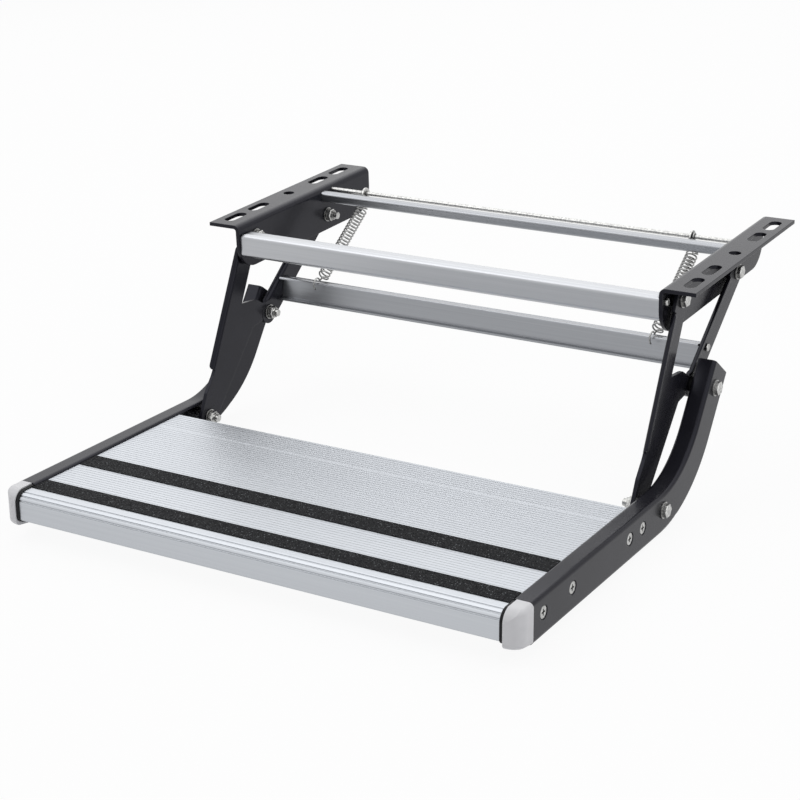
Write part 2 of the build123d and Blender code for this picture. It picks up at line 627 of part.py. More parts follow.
def nosing_plank():
    """The front extrusion: ridged nose, grooved deck, two strip recesses and two screw ports."""
    body_end = DECK_SEAM_Y - PLANK_LIP
    nose = Vector(0, 0)
    chin = Vector(0, -NOSE_HEIGHT)
    lip = Vector(DECK_SEAM_Y, 0)
    outer = Polygon(
        chin,
        (NOSE_HEEL_Y, -PLANK_HEIGHT),
        (body_end, -PLANK_HEIGHT),
        (body_end, -PLANK_LIP_THICKNESS),
        (DECK_SEAM_Y, -PLANK_LIP_THICKNESS),
        lip,
        nose,
        align=None,
    )
    outer = fillet(outer.vertices().sort_by_distance(nose)[0], NOSE_TOP_RADIUS)
    outer = fillet(outer.vertices().sort_by_distance(chin)[0], NOSE_BOTTOM_RADIUS)
    outer = chamfer(outer.vertices().sort_by_distance(lip)[0], SEAM_CHAMFER)
    for angle in NOSE_RIDGE_ANGLES:
        turn = radians(angle)
        y = NOSE_TOP_RADIUS * (1 - sin(turn))
        z = NOSE_TOP_RADIUS * (cos(turn) - 1)
        outer -= Pos(y, z) * Circle(NOSE_RIDGE_GROOVE)
    front_strip_end = FRONT_STRIP_Y + FRONT_STRIP_WIDTH
    rear_strip_end = REAR_STRIP_Y + REAR_STRIP_WIDTH
    outer -= groove_row(front_strip_end, REAR_STRIP_Y)
    outer -= groove_row(rear_strip_end, DECK_SEAM_Y - SEAM_CHAMFER)
    for y, width in ((FRONT_STRIP_Y, FRONT_STRIP_WIDTH), (REAR_STRIP_Y, REAR_STRIP_WIDTH)):
        outer -= Pos(y + width / 2, 0) * Rectangle(width, 2 * STRIP_RECESS)
    hollow = chamber(NOSE_HEEL_Y, body_end - PLANK_WALL) - screw_ports(NOSING_SCREWS)
    middle = (MIDDLE_SCREW_Y + body_end) / 2
    hollow -= Pos(middle, -PLANK_HEIGHT / 2) * Rectangle(PLANK_WALL, PLANK_HEIGHT)
    deep = NOSE_HEEL_Y - 3 * PLANK_WALL
    high = NOSE_HEIGHT - 2 * PLANK_TOP_WALL - PLANK_WALL
    nose_room = RectangleRounded(deep, high, PLANK_WALL)
    hollow += Pos(2 * PLANK_WALL + deep / 2, -PLANK_TOP_WALL - PLANK_WALL - high / 2) * nose_room
    section = outer - hollow - port_holes(NOSING_SCREWS)
    plank = slab(section, -RAIL_INNER_X, RAIL_INNER_X) & plank_ends()
    corner = Pos(RAIL_START_Y / 2, -PLANK_HEIGHT / 2) * Rectangle(RAIL_START_Y, PLANK_HEIGHT)
    for piece in both_sides(slab(corner, BAND_INNER_X, RAIL_INNER_X)):
        plank -= piece
    return plank


def rear_plank():
    """The narrow rear extrusion, its front edge under the nosing plank's lip."""
    front = DECK_SEAM_Y - PLANK_LIP + PLANK_PLAY
    step = -PLANK_LIP_THICKNESS - PLANK_PLAY
    seam = Vector(DECK_SEAM_Y + PLANK_PLAY, 0)
    outer = Polygon(
        (front, -PLANK_HEIGHT),
        (DECK_DEPTH, -PLANK_HEIGHT),
        (DECK_DEPTH, 0),
        seam,
        (seam.X, step),
        (front, step),
        align=None,
    )
    outer = chamfer(outer.vertices().sort_by_distance(seam)[0], SEAM_CHAMFER)
    outer -= groove_row(seam.X + SEAM_CHAMFER, DECK_DEPTH)
    high = PLANK_HEIGHT - PLANK_TOP_WALL - PLANK_LIP_THICKNESS - PLANK_WALL
    middle = ((front + DECK_DEPTH) / 2, -PLANK_HEIGHT + PLANK_WALL + high / 2)
    room = Pos(*middle) * RectangleRounded(DECK_DEPTH - front - 2 * PLANK_WALL, high, PLANK_WALL / 2)
    section = outer - (room - screw_ports(REAR_SCREWS)) - port_holes(REAR_SCREWS)
    return slab(section, -RAIL_INNER_X, RAIL_INNER_X) & plank_ends()


def grip_strip(y, width):
    """A gritted strip in its recess, between the rails' flanges."""
    reach = RAIL_FLANGE_X - STRIP_SIDE_GAP
    middle = STRIP_THICKNESS / 2 - STRIP_RECESS
    return slab(Pos(y + width / 2, middle) * Rectangle(width, STRIP_THICKNESS), -reach, reach)


def end_band():
    """The black trim band between the nosing's end and its cap."""
    top = Vector(-BAND_PROUD, BAND_PROUD)
    low = Vector(-BAND_PROUD, -NOSE_HEIGHT - BAND_PROUD)
    heel_z = -PLANK_HEIGHT - BAND_PROUD
    heel = [(NOSE_HEEL_Y, heel_z), (RAIL_START_Y, heel_z)]
    outline = Polygon(top, low, *heel, (RAIL_START_Y, top.Y), align=None)
    outline = fillet(outline.vertices().sort_by_distance(top)[0], NOSE_TOP_RADIUS + BAND_PROUD)
    outline = fillet(outline.vertices().sort_by_distance(low)[0], BAND_LOW_RADIUS)
    return slab(outline, BAND_INNER_X, BAND_OUTER_X)


def end_cap():
    """The rounded plastic cap on a rail's front end, which follows the nosing's profile."""
    bottom = RAIL_TOP_Z - RAIL_HEIGHT
    corner = Vector(CAP_OUTER_X, -CAP_FRONT)
    plan = Polygon(
        (BAND_OUTER_X, -CAP_FRONT),
        corner,
        (CAP_OUTER_X, RAIL_START_Y),
        (BAND_OUTER_X, RAIL_START_Y),
        align=None,
    )
    plan = fillet(plan.vertices().sort_by_distance(corner)[0], CAP_CORNER_RADIUS)
    brow = Vector(-CAP_FRONT, RAIL_TOP_Z)
    chin = Vector(-CAP_FRONT, -NOSE_HEIGHT - CAP_CHIN_DROP)
    side = Polygon(brow, chin, (RAIL_START_Y, bottom), (RAIL_START_Y, RAIL_TOP_Z), align=None)
    cap = extrude(Pos(0, 0, bottom) * plan, RAIL_TOP_Z - bottom) & slab(side, BAND_OUTER_X, CAP_OUTER_X)
    for place, radius in ((0, CAP_CHIN_RADIUS), (-1, CAP_EDGE_RADIUS)):
        rim = cap.faces().sort_by(Axis.Z)[place].edges()
        rim = rim.filter_by(lambda edge: edge.center().X > BAND_OUTER_X + PIVOT_CLEARANCE)
        rim = rim.filter_by(lambda edge: edge.center().Y < RAIL_START_Y - PIVOT_CLEARANCE)
        cap = fillet(rim, radius)
    side = fillet(side.vertices().sort_by_distance(brow)[0], NOSE_TOP_RADIUS + CAP_FRONT)
    return cap & slab(side, BAND_OUTER_X, CAP_OUTER_X)


def spring():
    """An extension spring hung on the rod and hooked over the link crossbar's upper flange."""
    rod = Vector(SPRING_X, ROD_Y, ROD_Z)
    hook_y = LINK_BAR_HOOK_INSET - LINK_BAR_FRONT
    lip = (LINK_BAR * Pos(SPRING_X, hook_y, LINK_BAR_ABOVE - BAR_WALL / 2)).position
    top = rod - Vector(0, COIL_TOP_FORWARD, COIL_TOP_DROP)
    end = lip + Vector(0, COIL_END_BACK, COIL_END_RISE)
    coil = (end - top).length
    hung = Plane(origin=top, x_dir=(1, 0, 0), z_dir=end - top)
    helix = Helix(coil / SPRING_TURNS, coil, SPRING_RADIUS)
    wire = sweep(Plane(origin=helix @ 0, z_dir=helix % 0) * Circle(WIRE_RADIUS), path=helix, is_frenet=True)
    body = hung * wire
    eye_radius = ROD_RADIUS + HOOK_SEAT_GAP + WIRE_RADIUS
    body += Plane(origin=rod, x_dir=(0, 0, 1), z_dir=(1, 0, 0)) * Torus(eye_radius, WIRE_RADIUS)
    body += round_wire(top, rod + (top - rod).normalized() * eye_radius)
    to_coil = (end - lip).normalized()
    body += round_wire(end, lip + to_coil * HOOK_REACH)
    for place in (top, end):
        body += round_wire(place, place + Vector(SPRING_RADIUS, 0, 0))
    round_lip = Plane(origin=lip, x_dir=to_coil, z_dir=(1, 0, 0))
    hook_path = round_lip * CenterArc((0, 0), HOOK_REACH, 0, HOOK_SWEEP)
    hook = sweep(Plane(origin=hook_path @ 0, z_dir=hook_path % 0) * Circle(WIRE_RADIUS), path=hook_path)
    return body + hook


def save_frame():
    """The brackets, what joins them, the upper pivots' fasteners and the spring rod."""
    save_pair("bracket", bracket())
    save("front_crossbar", front_crossbar())
    save("rear_crossbar", rear_crossbar())
    save("front_crossbar_screws", *both_sides(bar_screw(FRONT_BAR_PORT_Y, FRONT_BAR_PORT_Z, BRACKET_OUTER_X)))
    save("rear_crossbar_screws", *both_sides(bar_screw(REAR_BAR_MID_Y, REAR_BAR_MID_Z, BRACKET_OUTER_X)))
    save("spring_rod", disc(ROD_Y, ROD_Z, ROD_RADIUS, -BRACKET_OUTER_X, BRACKET_OUTER_X))
    collar_x = SPRING_X - WIRE_RADIUS - ROD_WASHER_GAP
    hung_z = ROD_Z + ROD_RADIUS + PIVOT_CLEARANCE - ROD_WASHER_BORE
    inner_x = collar_x - ROD_WASHER_THICKNESS
    collar = ring(ROD_Y, hung_z, ROD_WASHER_RADIUS, ROD_WASHER_BORE, inner_x, collar_x)
    save("spring_rod_washers", *both_sides(collar))
    bolts, nuts, washers, bushes = [], [], [], []
    nut_x = BRACKET_INNER_X - WASHER_THICKNESS
    for y, z in ((FRONT_PIVOT_Y, FRONT_PIVOT_Z), (REAR_PIVOT_Y, REAR_PIVOT_Z)):
        bolts += both_sides(flange_bolt(y, z, LINK_OUTER_X + PIVOT_PLAY, nut_reach(nut_x, UPPER_BOLT_TIP)))
        nuts += both_sides(lock_nut(y, z, nut_x))
        washers += both_sides(ring(y, z, WASHER_RADIUS, BOLT_HOLE, nut_x, BRACKET_INNER_X))
        bushes += both_sides(ring(y, z, BUSH_RADIUS, BOLT_HOLE, BRACKET_OUTER_X, LINK_INNER_X - PIVOT_PLAY))
    save("upper_pivot_bolts", *bolts)
    save("upper_pivot_nuts", *nuts)
    save("upper_pivot_washers", *washers)
    save("upper_pivot_bushes", *bushes)


def save_links():
    """The four links, the rear links' crossbar and the half of the rear lower pivots that they carry."""
    save_pair("front_link", front_link())
    save_pair("rear_link", rear_link())
    save("link_crossbar", link_crossbar())
    port = link_point(REAR_PIVOT, REAR_ALONG, LINK_BAR_REACH, 0)
    save("link_crossbar_screws", *both_sides(bar_screw(*port, LINK_OUTER_X)))
    y, z = REAR_FOOT.Y, REAR_FOOT.Z
    nut_x = LINK_INNER_X - WASHER_THICKNESS
    stud_tip = nut_reach(nut_x, LOWER_BOLT_TIP)
    save("rear_lower_studs", *both_sides(disc(y, z, BOLT_RADIUS, stud_tip, STUD_END_X)))
    save("rear_lower_nuts", *both_sides(lock_nut(y, z, nut_x)))
    save("rear_lower_washers", *both_sides(ring(y, z, WASHER_RADIUS, BOLT_HOLE, nut_x, LINK_INNER_X)))
    save("rear_lower_bushes", *both_sides(ring(y, z, SPACER_RADIUS, BOLT_HOLE, LINK_OUTER_X, STUD_END_X)))
    save_pair("spring", spring())


def save_tread():
    """The tread, its rails, trim and lower pivots, pitched as it stands when let down."""
    save_pair("side_rail", TREAD * side_rail())
    save("nosing_plank", TREAD * nosing_plank())
    save("rear_plank", TREAD * rear_plank())
    save("front_grip_strip", TREAD * grip_strip(FRONT_STRIP_Y, FRONT_STRIP_WIDTH))
    save("rear_grip_strip", TREAD * grip_strip(REAR_STRIP_Y, REAR_STRIP_WIDTH))
    save_pair("end_band", TREAD * end_band())
    save_pair("end_cap", TREAD * end_cap())
    screws = [both_sides(TREAD * recessed_rail_screw(y)) for y in NOSING_SCREWS + REAR_SCREWS]
    save("tread_screws", *sum(screws, []))
    y, z = TREAD_PIVOT_Y, TREAD_PIVOT_Z
    washer_x = LINK_INNER_X - PIVOT_PLAY
    nut_x = washer_x - WASHER_THICKNESS
    spacer = ring(y, z, SPACER_RADIUS, BOLT_HOLE, LINK_OUTER_X + PIVOT_PLAY, RAIL_INNER_X)
    bolt_tip = nut_reach(nut_x, LOWER_BOLT_TIP)
    save("front_lower_bolts", *both_sides(TREAD * flange_bolt(y, z, RAIL_OUTER_X, bolt_tip)))
    save("front_lower_spacers", *both_sides(TREAD * spacer))
    save("front_lower_washers", *both_sides(TREAD * ring(y, z, WASHER_RADIUS, BOLT_HOLE, nut_x, washer_x)))
    save("front_lower_nuts", *both_sides(TREAD * lock_nut(y, z, nut_x)))
    y, z = TREAD_REAR_PIVOT.Y, TREAD_REAR_PIVOT.Z
    open_x = STUD_END_X + OPEN_PIVOT_GAP
    save("rear_lower_bolts", *both_sides(TREAD * flange_bolt(y, z, RAIL_OUTER_X, open_x)))
    spacer = ring(y, z, SPACER_RADIUS, BOLT_HOLE, open_x, RAIL_INNER_X)
    save("rear_lower_spacers", *both_sides(TREAD * spacer))


os.makedirs("parts", exist_ok=True)
save_frame()
save_links()
save_tread()
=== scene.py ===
import json
import math

import bmesh
import bpy
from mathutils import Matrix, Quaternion, Vector


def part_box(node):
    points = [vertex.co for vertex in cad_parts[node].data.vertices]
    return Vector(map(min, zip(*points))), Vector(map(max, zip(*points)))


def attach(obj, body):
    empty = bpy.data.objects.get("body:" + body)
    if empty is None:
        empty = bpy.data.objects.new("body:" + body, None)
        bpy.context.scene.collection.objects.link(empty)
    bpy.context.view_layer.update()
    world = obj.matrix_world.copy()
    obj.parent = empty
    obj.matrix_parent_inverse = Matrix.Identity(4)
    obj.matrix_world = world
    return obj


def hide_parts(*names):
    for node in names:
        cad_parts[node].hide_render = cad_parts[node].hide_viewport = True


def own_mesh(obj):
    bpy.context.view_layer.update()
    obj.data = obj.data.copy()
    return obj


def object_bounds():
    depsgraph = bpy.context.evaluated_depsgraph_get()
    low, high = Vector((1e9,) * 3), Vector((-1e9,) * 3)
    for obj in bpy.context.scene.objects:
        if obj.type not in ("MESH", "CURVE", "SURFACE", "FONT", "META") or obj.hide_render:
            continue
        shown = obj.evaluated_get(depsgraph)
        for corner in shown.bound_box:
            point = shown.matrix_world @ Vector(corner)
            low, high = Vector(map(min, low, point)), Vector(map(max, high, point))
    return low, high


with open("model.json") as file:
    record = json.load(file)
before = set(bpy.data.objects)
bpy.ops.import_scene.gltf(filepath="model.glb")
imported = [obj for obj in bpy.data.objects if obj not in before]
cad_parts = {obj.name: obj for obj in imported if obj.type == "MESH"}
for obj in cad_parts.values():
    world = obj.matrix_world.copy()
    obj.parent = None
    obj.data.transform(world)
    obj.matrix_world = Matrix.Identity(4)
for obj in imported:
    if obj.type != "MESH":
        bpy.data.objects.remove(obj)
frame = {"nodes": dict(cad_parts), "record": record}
cad_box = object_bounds()

# Camera, at the photograph's viewpoint, in metres and degrees
CAMERA_EYE = Vector((0.97926, -1.83577, 0.61577))
CAMERA_TARGET = Vector((0.0003, -0.22339, -0.13471))
CAMERA_ROLL = -1.864
CAMERA_LENS = 87.08
CAMERA_SENSOR = 36.0

# Stage, in metres, with each lamp's place, size and power in watts
FLOOR_REACH = 6.0
FLOOR_GAP = 0.0005
FLOOR_COLOUR = (0.86, 0.86, 0.87)
FLOOR_GLOW = 0.92
WORLD_STRENGTH = 0.38
LAMP_AIM = Vector((0.0, -0.22, -0.12))
LAMPS = {
    "key": ((-1.4, -1.6, 1.9), (1.6, 1.2), 10),
    "top": ((0.2, 0.3, 2.2), (6.0, 4.5), 68),
    "back": ((-1.5, 2.06, 1.1), (4.0, 2.0), 9),
    "side": ((2.3, -0.6, 0.9), (1.2, 1.4), 4),
}

# Finishes and painted shade: how round the edges look and how far the painted shade in a recess reaches, in
# metres
COAT_EDGE = 0.0011
COAT_SHADE_REACH = 0.003
ZINC_EDGE = 0.0005
ZINC_SHADE_REACH = 0.006
DECK_SHADE_REACH = 0.0012
BAR_SHADE_REACH = 0.0006
RAYS_A_SAMPLE = 6

# Springs, as the solids draw them
ROD_RADIUS = 0.0025
SPRING_LIP = (-0.052836, -0.087633)
SPRING_TURNS = 24
COIL_RADIUS = 0.0062
WIRE_RADIUS = 0.00095
EYE_CLEARANCE = 0.0004
COIL_TOP_FROM_ROD = (-0.004, -0.018)
COIL_END_FROM_LIP = (0.014, 0.0048)
HOOK_RADIUS = 0.0065
HOOK_SWEEP = 220.0
STEPS_A_TURN = 20
WIRE_SIDES = 10


def add_node(tree, kind, **settings):
    """A shader node with its inputs or its own settings filled in."""
    node = tree.nodes.new(kind)
    for name, value in settings.items():
        label = name.replace("_", " ")
        if label in node.inputs:
            node.inputs[label].default_value = value
        else:
            setattr(node, name, value)
    return node


def begin_material(name):
    """A new material, its node tree and its main shader."""
    material = bpy.data.materials.new(name)
    material.use_nodes = True
    tree = material.node_tree
    return material, tree, tree.nodes["Principled BSDF"]


def object_space(tree, scale=(1, 1, 1)):
    """Places on the object in metres, stretched by scale."""
    place = add_node(tree, "ShaderNodeTexCoord")
    mapping = add_node(tree, "ShaderNodeMapping", Scale=scale)
    tree.links.new(place.outputs["Object"], mapping.inputs["Vector"])
    return mapping.outputs["Vector"]


def noise(tree, vector, scale, detail=3.0, rough=0.55):
    """Cloudy variation between 0 and 1."""
    texture = add_node(tree, "ShaderNodeTexNoise", Scale=scale, Detail=detail, Roughness=rough)
    tree.links.new(vector, texture.inputs["Vector"])
    return texture.outputs["Fac"]


def ramp(tree, factor, low, high, start=0.3, end=0.7):
    """Blends two colours as the factor goes from start to end."""
    blend = add_node(tree, "ShaderNodeValToRGB")
    blend.color_ramp.elements[0].position = start
    blend.color_ramp.elements[0].color = (*low, 1)
    blend.color_ramp.elements[1].position = end
    blend.color_ramp.elements[1].color = (*high, 1)
    tree.links.new(factor, blend.inputs["Fac"])
    return blend.outputs["Color"]


def spread(tree, factor, low, high):
    """A number between low and high."""
    scaled = add_node(tree, "ShaderNodeMapRange")
    scaled.inputs["To Min"].default_value = low
    scaled.inputs["To Max"].default_value = high
    tree.links.new(factor, scaled.inputs["Value"])
    return scaled.outputs["Result"]


def rounded_normal(tree, radius):
    """Normals softened at the edges, as a folded or rumbled edge catches light."""
    return add_node(tree, "ShaderNodeBevel", Radius=radius, samples=RAYS_A_SAMPLE).outputs["Normal"]


def bump(tree, height, strength, distance, normal=None):
    """Fine relief from a height."""
    relief = add_node(tree, "ShaderNodeBump", Strength=strength, Distance=distance)
    tree.links.new(height, relief.inputs["Height"])
    if normal is not None:
        tree.links.new(normal, relief.inputs["Normal"])
    return relief.outputs["Normal"]


def edge_share(tree, normal):
    """How far a softened normal leaves the true one: near 1 along edges, 0 on flats."""
    true = add_node(tree, "ShaderNodeNewGeometry")
    dot = add_node(tree, "ShaderNodeVectorMath", operation="DOT_PRODUCT")
    tree.links.new(true.outputs["Normal"], dot.inputs[0])
    tree.links.new(normal, dot.inputs[1])
    share = add_node(tree, "ShaderNodeMapRange")
    share.inputs["From Min"].default_value = 0.99
    share.inputs["From Max"].default_value = 0.85
    tree.links.new(dot.outputs["Value"], share.inputs["Value"])
    return share.outputs["Result"]


def recess(tree, reach):
    """A node that tells how closed in a place is by surfaces within reach."""
    return add_node(tree, "ShaderNodeAmbientOcclusion", Distance=reach, samples=RAYS_A_SAMPLE)


def painted_shade(tree, colour, reach):
    """A colour with painted shade: darkened in recesses and where pieces meet."""
    depth = recess(tree, reach)
    tree.links.new(colour, depth.inputs["Color"])
    return depth.outputs["Color"]


def black_coat():
    """Satin black powder coat: fine texture, slight clouding, paler edges as thin-coat wear and partly a
    painted highlight, and painted shade that dulls the reflection in recesses.
    """
    material, tree, shader = begin_material("black_powder_coat")
    place = object_space(tree)
    soft = rounded_normal(tree, COAT_EDGE)
    cloud = noise(tree, place, 35.0)
    colour = ramp(tree, cloud, (0.0075, 0.0074, 0.0105), (0.0115, 0.0113, 0.0155))
    # Paler edges: partly thin-coat wear, partly a painted highlight along the edges.
    edge = add_node(tree, "ShaderNodeMix", data_type="RGBA")
    edge.inputs[7].default_value = (0.020, 0.020, 0.024, 1)
    tree.links.new(edge_share(tree, soft), edge.inputs[0])
    tree.links.new(colour, edge.inputs[6])
    tree.links.new(edge.outputs[2], shader.inputs["Base Color"])
    tree.links.new(spread(tree, noise(tree, place, 120.0), 0.20, 0.28), shader.inputs["Roughness"])
    grain = noise(tree, place, 1700.0, 2.0)
    tree.links.new(bump(tree, grain, 0.08, 0.00018, soft), shader.inputs["Normal"])
    # Painted shade: the reflection is turned down in recesses and where pieces meet.
    sheen_less_in_painted_shade = spread(tree, recess(tree, COAT_SHADE_REACH).outputs["AO"], 0.0, 0.2)
    tree.links.new(sheen_less_in_painted_shade, shader.inputs["Specular IOR Level"])
    shader.inputs["Specular Tint"].default_value = (0.84, 0.85, 1.0, 1)
    return material


def drawn_aluminium(name, colours, roughness, reach):
    """Satin anodised extrusion: fine draw lines along X, with painted shade within reach of a groove's
    walls.
    """
    material, tree, shader = begin_material(name)
    place = object_space(tree)
    lines = noise(tree, object_space(tree, (2.0, 700.0, 700.0)), 1.0, 4.0, 0.6)
    colour = ramp(tree, lines, *colours, 0.25, 0.75)
    # Painted shade in the base colour, in grooves and where pieces meet.
    tree.links.new(painted_shade(tree, colour, reach), shader.inputs["Base Color"])
    tree.links.new(spread(tree, lines, *roughness), shader.inputs["Roughness"])
    fine = noise(tree, place, 2600.0, 2.0)
    scored = bump(tree, lines, 0.05, 0.00005)
    tree.links.new(bump(tree, fine, 0.04, 0.00005, scored), shader.inputs["Normal"])
    shader.inputs["Metallic"].default_value = 1.0
    return material


def zinc_plate():
    """Bright zinc on bolts, nuts, washers and screws: mottled, with a faint turned finish and painted shade
    in recesses and where pieces meet.
    """
    material, tree, shader = begin_material("bright_zinc")
    place = object_space(tree)
    mottle = noise(tree, place, 420.0, 4.0)
    colour = ramp(tree, mottle, (0.30, 0.30, 0.30), (0.66, 0.66, 0.64))
    # Painted shade in the base colour, in recesses and where pieces meet.
    tree.links.new(painted_shade(tree, colour, ZINC_SHADE_REACH), shader.inputs["Base Color"])
    tree.links.new(spread(tree, mottle, 0.20, 0.36), shader.inputs["Roughness"])
    soft = rounded_normal(tree, ZINC_EDGE)
    tree.links.new(bump(tree, noise(tree, place, 1500.0), 0.10, 0.0001, soft), shader.inputs["Normal"])
    shader.inputs["Metallic"].default_value = 1.0
    return material


def spring_wire():
    """Bright drawn wire."""
    material, tree, shader = begin_material("spring_wire")
    place = object_space(tree)
    streak = noise(tree, place, 900.0, 3.0)
    tree.links.new(ramp(tree, streak, (0.26, 0.26, 0.26), (0.46, 0.46, 0.45)), shader.inputs["Base Color"])
    tree.links.new(spread(tree, streak, 0.22, 0.38), shader.inputs["Roughness"])
    tree.links.new(bump(tree, streak, 0.12, 0.00006), shader.inputs["Normal"])
    shader.inputs["Metallic"].default_value = 1.0
    return material


def grit_strip():
    """Coarse black grit with painted glints: scattered bright grains in the colour."""
    material, tree, shader = begin_material("grip_grit")
    place = object_space(tree)
    grains = add_node(tree, "ShaderNodeTexVoronoi", Scale=1100.0)
    tree.links.new(place, grains.inputs["Vector"])
    pick = add_node(tree, "ShaderNodeSeparateColor")
    tree.links.new(grains.outputs["Color"], pick.inputs["Color"])
    colour = ramp(tree, pick.outputs["Red"], (0.004, 0.004, 0.005), (0.012, 0.013, 0.015), 0.0, 0.955)
    # Painted glints: a few grains made bright in the colour, as sparkle.
    painted_glint = colour.node.color_ramp.elements.new(0.985)
    painted_glint.color = (0.16, 0.17, 0.18, 1)
    tree.links.new(colour, shader.inputs["Base Color"])
    tree.links.new(spread(tree, pick.outputs["Green"], 0.45, 0.90), shader.inputs["Roughness"])
    height = add_node(tree, "ShaderNodeMath", operation="SUBTRACT")
    tree.links.new(pick.outputs["Blue"], height.inputs[0])
    tree.links.new(grains.outputs["Distance"], height.inputs[1])
    tree.links.new(bump(tree, height.outputs[0], 0.9, 0.0006), shader.inputs["Normal"])
    shader.inputs["Specular IOR Level"].default_value = 0.1
    return material


def pale_plastic():
    """Smooth pale moulding with a faint texture."""
    material, tree, shader = begin_material("pale_moulding")
    place = object_space(tree)
    cloud = noise(tree, place, 60.0, 2.0)
    tree.links.new(ramp(tree, cloud, (0.61, 0.61, 0.63), (0.66, 0.66, 0.68)), shader.inputs["Base Color"])
    tree.links.new(spread(tree, cloud, 0.34, 0.44), shader.inputs["Roughness"])
    tree.links.new(bump(tree, noise(tree, place, 900.0), 0.06, 0.0001), shader.inputs["Normal"])
    return material


def black_plastic(name, rough):
    """Plain black moulding with a dull skin."""
    material, tree, shader = begin_material(name)
    place = object_space(tree)
    cloud = noise(tree, place, 150.0)
    colour = ramp(tree, cloud, (0.008, 0.008, 0.009), (0.016, 0.016, 0.017))
    tree.links.new(colour, shader.inputs["Base Color"])
    tree.links.new(spread(tree, cloud, rough - 0.06, rough + 0.06), shader.inputs["Roughness"])
    tree.links.new(bump(tree, noise(tree, place, 1100.0), 0.12, 0.0001), shader.inputs["Normal"])
    shader.inputs["Specular IOR Level"].default_value = 0.15
    return material


def dress_nodes():
    """Each CAD node gets the material of its slot, and the two rear bars a darker copy of the bar aluminium
    as painted shade.
    """
    deck = ((0.49, 0.51, 0.54), (0.54, 0.56, 0.59))
    bar = ((0.41, 0.42, 0.44), (0.48, 0.49, 0.51))
    # A darker copy of the bar colours: painted shade on the rear and link bars.
    rear = ((0.30, 0.31, 0.33), (0.36, 0.37, 0.39))
    looks = {
        "black_paint": black_coat(),
        "deck_aluminium": drawn_aluminium("deck_aluminium", deck, (0.46, 0.52), DECK_SHADE_REACH),
        "bar_aluminium": drawn_aluminium("bar_aluminium", bar, (0.28, 0.36), BAR_SHADE_REACH),
        "rear_aluminium": drawn_aluminium("rear_aluminium", rear, (0.28, 0.36), BAR_SHADE_REACH),
        "zinc_steel": zinc_plate(),
        "spring_wire": spring_wire(),
        "grip_strip": grit_strip(),
        "end_cap": pale_plastic(),
        "trim_band": black_plastic("trim_band", 0.5),
        "pivot_bush": black_plastic("pivot_bush", 0.4),
    }
    slots = {entry["node"]: entry["material_slot"] for entry in frame["record"]["subparts"]}
    slots.update(dict.fromkeys(("rear_crossbar", "link_crossbar"), "rear_aluminium"))
    for name, node in frame["nodes"].items():
        node.data.materials.clear()
        node.data.materials.append(looks[slots[name]])
    return looks


def tube(name, path, radius, closed=False):
    """A round wire along a list of points."""
    mesh = bmesh.new()
    count = len(path)
    rings = []
    side = Vector((1, 0, 0))
    for index, point in enumerate(path):
        before = path[index - 1] if closed or index > 0 else point
        after = path[(index + 1) % count] if closed or index < count - 1 else point
        ahead = (after - before).normalized()
        side = (side - ahead * side.dot(ahead)).normalized()
        across = ahead.cross(side)
        ring = []
        for step in range(WIRE_SIDES):
            turn = 2 * math.pi * step / WIRE_SIDES
            ring.append(mesh.verts.new(point + (side * math.cos(turn) + across * math.sin(turn)) * radius))
        rings.append(ring)
    pairs = list(zip(rings, rings[1:]))
    if closed:
        pairs.append((rings[-1], rings[0]))
    for low, high in pairs:
        for step in range(WIRE_SIDES):
            after = (step + 1) % WIRE_SIDES
            mesh.faces.new((low[step], low[after], high[after], high[step]))
    if not closed:
        mesh.faces.new(list(reversed(rings[0])))
        mesh.faces.new(rings[-1])
    for face in mesh.faces:
        face.smooth = True
    bmesh.ops.recalc_face_normals(mesh, faces=mesh.faces)
    data = bpy.data.meshes.new(name)
    mesh.to_mesh(data)
    mesh.free()
    piece = bpy.data.objects.new(name, data)
    bpy.context.scene.collection.objects.link(piece)
    return piece


def arc(centre, start, across, radius, sweep, steps):
    """Points along an arc from the start direction towards the one across it."""
    turns = [math.radians(sweep) * step / steps for step in range(steps + 1)]
    return [centre + (start * math.cos(turn) + across * math.sin(turn)) * radius for turn in turns]


def spring_pieces(side, material):
    """One spring: an eye round the rod, and the coil with its necks and hook."""
    node = side + "_spring"
    low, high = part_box(node)
    x = (low[0] + high[0]) / 2
    rod_low, rod_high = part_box("spring_rod")
    rod = Vector((x, (rod_low[1] + rod_high[1]) / 2, (rod_low[2] + rod_high[2]) / 2))
    lip = Vector((x, *SPRING_LIP))
    top = rod + Vector((0, *COIL_TOP_FROM_ROD))
    end = lip + Vector((0, *COIL_END_FROM_LIP))
    right = Vector((1, 0, 0))
    hang = (top - rod).normalized()
    eye_radius = ROD_RADIUS + EYE_CLEARANCE + WIRE_RADIUS
    eye_points = arc(rod, hang, right.cross(hang), eye_radius, 360.0, 2 * STEPS_A_TURN)[:-1]
    eye = tube(side + "_spring_eye", eye_points, WIRE_RADIUS, closed=True)
    along = (end - top).normalized()
    up = along.cross(right)
    points = [rod + hang * eye_radius, top - along * WIRE_RADIUS]
    steps = SPRING_TURNS * STEPS_A_TURN
    for step in range(steps + 1):
        turn = 2 * math.pi * step / STEPS_A_TURN
        out = right * math.cos(turn) + up * math.sin(turn)
        points.append(top.lerp(end, step / steps) + out * COIL_RADIUS)
    to_coil = (end - lip).normalized()
    points.append(end + along * WIRE_RADIUS)
    points += arc(lip, to_coil, right.cross(to_coil), HOOK_RADIUS, HOOK_SWEEP, STEPS_A_TURN)
    wire = tube(side + "_spring_coil", points, WIRE_RADIUS)
    for piece in (eye, wire):
        piece.data.materials.append(material)
        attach(piece, "springs")
        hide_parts(node)
    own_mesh(wire)


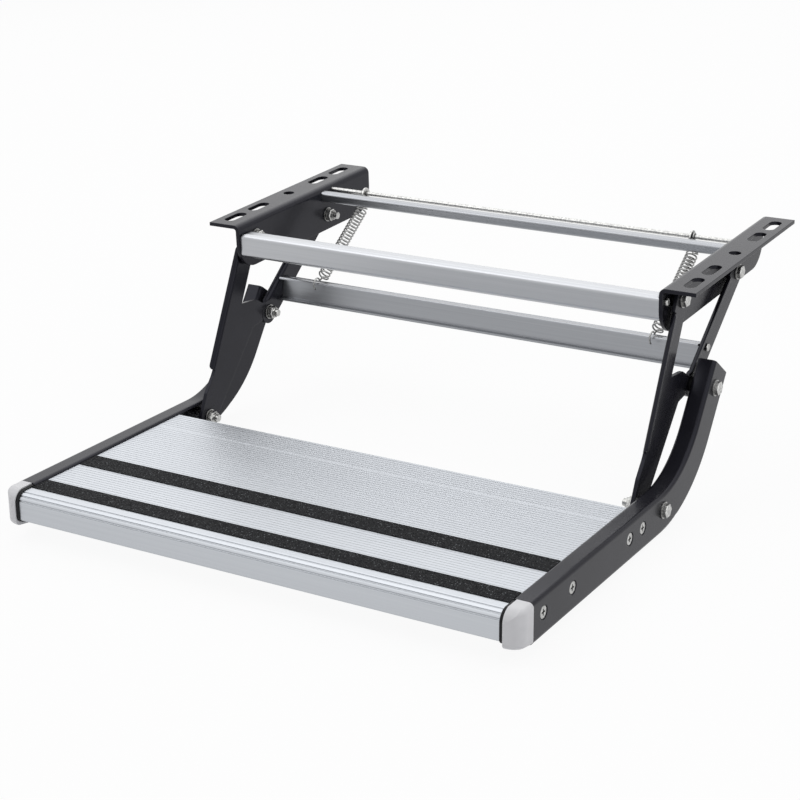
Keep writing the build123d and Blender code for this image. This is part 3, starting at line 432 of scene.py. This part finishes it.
def add_lamp(name, place, size, power):
    """A soft box light turned towards the part."""
    light = bpy.data.lights.new(name, "AREA")
    light.shape = "RECTANGLE"
    light.size, light.size_y = size
    light.energy = power
    lamp = bpy.data.objects.new(name, light)
    lamp.location = place
    lamp.visible_camera = False
    lamp.rotation_euler = (LAMP_AIM - Vector(place)).to_track_quat("-Z", "Y").to_euler()
    bpy.context.scene.collection.objects.link(lamp)


def seen_rays(tree):
    """1 for what the camera sees directly, in a mirror or through glass."""
    path = add_node(tree, "ShaderNodeLightPath")
    first = add_node(tree, "ShaderNodeMath", operation="MAXIMUM")
    tree.links.new(path.outputs["Is Camera Ray"], first.inputs[0])
    tree.links.new(path.outputs["Is Glossy Ray"], first.inputs[1])
    both = add_node(tree, "ShaderNodeMath", operation="MAXIMUM")
    tree.links.new(first.outputs[0], both.inputs[0])
    tree.links.new(path.outputs["Is Transmission Ray"], both.inputs[1])
    return both.outputs[0]


def build_floor():
    """A plain pale floor under the tread that keeps a soft shadow."""
    material = bpy.data.materials.new("floor")
    material.use_nodes = True
    tree = material.node_tree
    tree.nodes.clear()
    diffuse = add_node(tree, "ShaderNodeBsdfDiffuse", Color=(*FLOOR_COLOUR, 1))
    glow = add_node(tree, "ShaderNodeEmission", Color=(1, 1, 1, 1), Strength=1.0)
    share = add_node(tree, "ShaderNodeMath", operation="MULTIPLY")
    share.inputs[1].default_value = FLOOR_GLOW
    tree.links.new(seen_rays(tree), share.inputs[0])
    mix = add_node(tree, "ShaderNodeMixShader")
    tree.links.new(share.outputs[0], mix.inputs["Fac"])
    tree.links.new(diffuse.outputs[0], mix.inputs[1])
    tree.links.new(glow.outputs[0], mix.inputs[2])
    output = add_node(tree, "ShaderNodeOutputMaterial")
    tree.links.new(mix.outputs[0], output.inputs["Surface"])
    mesh = bpy.data.meshes.new("floor")
    level = cad_box[0][2] - FLOOR_GAP
    corners = [(-1, -1), (1, -1), (1, 1), (-1, 1)]
    mesh.from_pydata([(x * FLOOR_REACH, y * FLOOR_REACH, level) for x, y in corners], [], [(0, 1, 2, 3)])
    floor = bpy.data.objects.new("floor", mesh)
    floor.data.materials.append(material)
    bpy.context.scene.collection.objects.link(floor)


def light_stage():
    """A white surround with soft boxes above, behind, in front and at the side."""
    world = bpy.data.worlds.new("studio")
    bpy.context.scene.world = world
    world.use_nodes = True
    tree = world.node_tree
    background = tree.nodes["Background"]
    background.inputs["Color"].default_value = (1, 1, 1, 1)
    tree.links.new(spread(tree, seen_rays(tree), WORLD_STRENGTH, 1.0), background.inputs["Strength"])
    for name, settings in LAMPS.items():
        add_lamp(name, *settings)


def place_camera():
    """The photograph's camera."""
    data = bpy.data.cameras.new("camera")
    data.lens = CAMERA_LENS
    data.sensor_width = CAMERA_SENSOR
    camera = bpy.data.objects.new("camera", data)
    camera.location = CAMERA_EYE
    aim = (CAMERA_TARGET - CAMERA_EYE).to_track_quat("-Z", "Y")
    camera.rotation_mode = "QUATERNION"
    camera.rotation_quaternion = aim @ Quaternion((0, 0, 1), math.radians(CAMERA_ROLL))
    bpy.context.scene.collection.objects.link(camera)
    bpy.context.scene.camera = camera


def build_scene():
    """Dresses the part and sets the stage."""
    looks = dress_nodes()
    for side in ("left", "right"):
        spring_pieces(side, looks["spring_wire"])
    build_floor()
    light_stage()
    place_camera()
    bpy.context.scene.view_settings.view_transform = "Standard"


build_scene()
